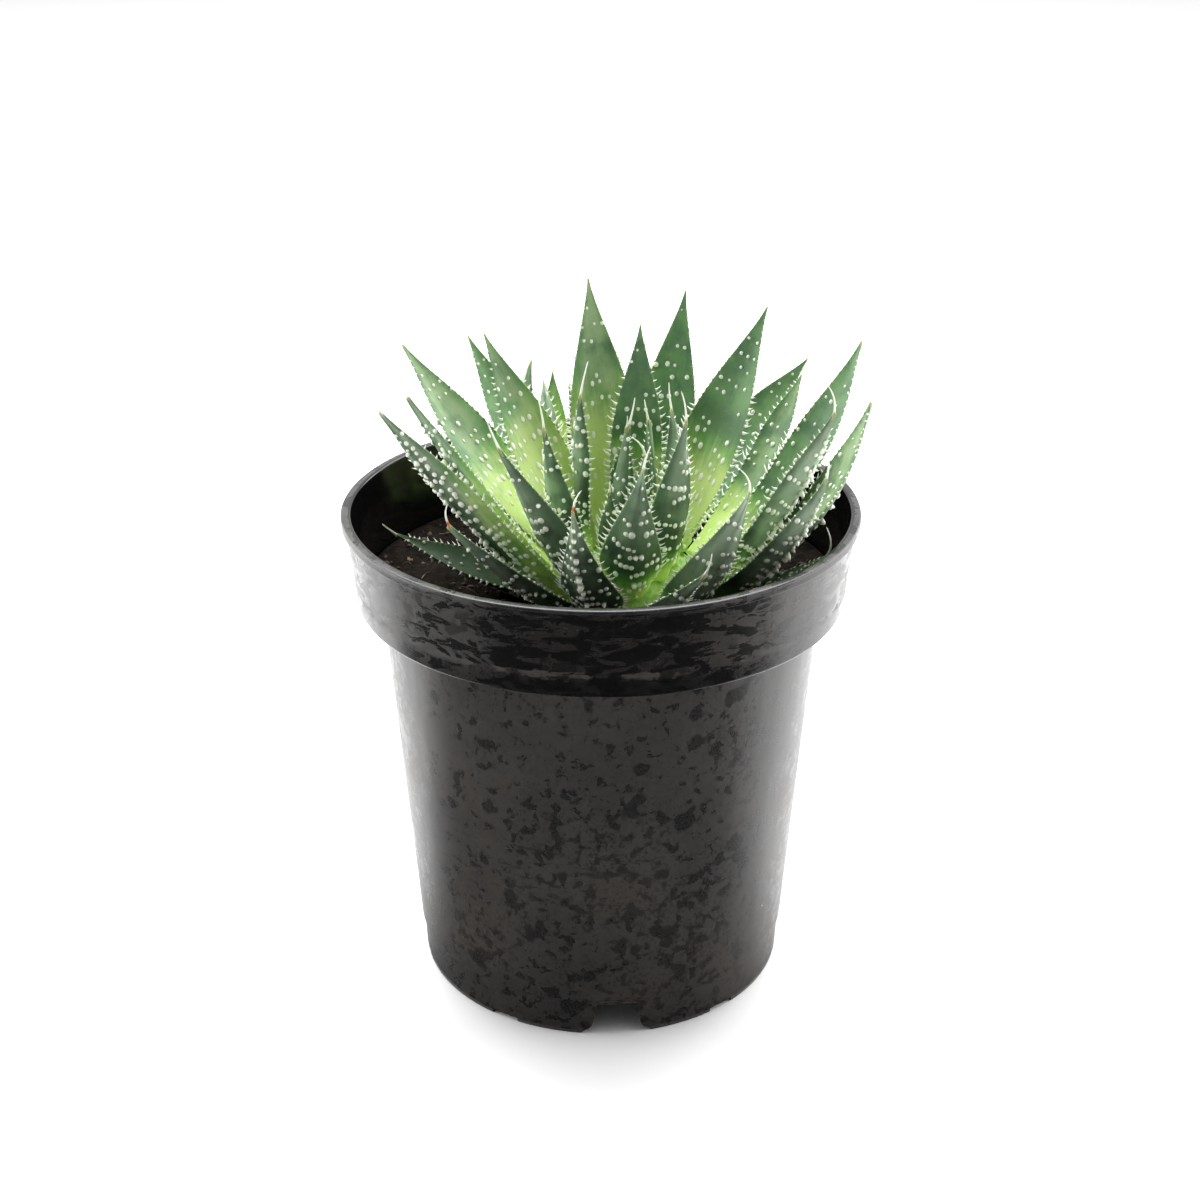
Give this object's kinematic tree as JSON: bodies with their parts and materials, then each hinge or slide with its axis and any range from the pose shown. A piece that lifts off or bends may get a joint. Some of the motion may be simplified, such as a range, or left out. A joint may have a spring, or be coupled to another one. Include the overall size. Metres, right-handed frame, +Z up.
{
  "type": "potted aloe",
  "caption": "Lace-leaved aloe rosette with toothed, white-spotted pointed leaves in a round black nursery pot with a stepped collar.",
  "frame": {"origin": "middle of the pot's foot ring, on the ground", "axes": "+Z up along the pot's axis, -Y towards the viewer's side of the plant, +X to that viewer's right"},
  "size_m": [0.1207, 0.12, 0.167],
  "materials": {
    "pot_plastic": "thin black pot plastic, satin gloss with a dusty film and dried water spots",
    "peat": null,
    "crown_green": null,
    "leaf_green": null
  },
  "bodies": {
    "root": {"crown_main": "crown_green", "crown_offset": "crown_green", "leaf_back_inner": "leaf_green", "leaf_back_low": "leaf_green", "leaf_back_lowest": "leaf_green", "leaf_back_outer": "leaf_green", "leaf_back_right": "leaf_green", "leaf_back_right_low": "leaf_green", "leaf_back_tall": "leaf_green", "leaf_front_left": "leaf_green", "leaf_front_low": "leaf_green", "leaf_front_middle": "leaf_green", "leaf_front_right": "leaf_green", "leaf_front_slim": "leaf_green", "leaf_front_small": "leaf_green", "leaf_heart_back": "leaf_green", "leaf_heart_front": "leaf_green", "leaf_heart_left": "leaf_green", "leaf_heart_right": "leaf_green", "leaf_heart_side": "leaf_green", "leaf_left_awned": "leaf_green", "leaf_left_behind": "leaf_green", "leaf_left_dark": "leaf_green", "leaf_left_high": "leaf_green", "leaf_left_keeled": "leaf_green", "leaf_left_long": "leaf_green", "leaf_left_lowest": "leaf_green", "leaf_left_under": "leaf_green", "leaf_left_upright": "leaf_green", "leaf_left_wide": "leaf_green", "leaf_right_awned": "leaf_green", "leaf_right_behind": "leaf_green", "leaf_right_bright": "leaf_green", "leaf_right_edge": "leaf_green", "leaf_right_front": "leaf_green", "leaf_right_high": "leaf_green", "leaf_right_lowest": "leaf_green", "leaf_right_side": "leaf_green", "leaf_right_slim": "leaf_green", "offset_leaf_back": "leaf_green", "offset_leaf_front": "leaf_green", "offset_leaf_left": "leaf_green", "offset_leaf_right": "leaf_green", "pot": "pot_plastic", "soil": "peat"}
  },
  "joints": []
}
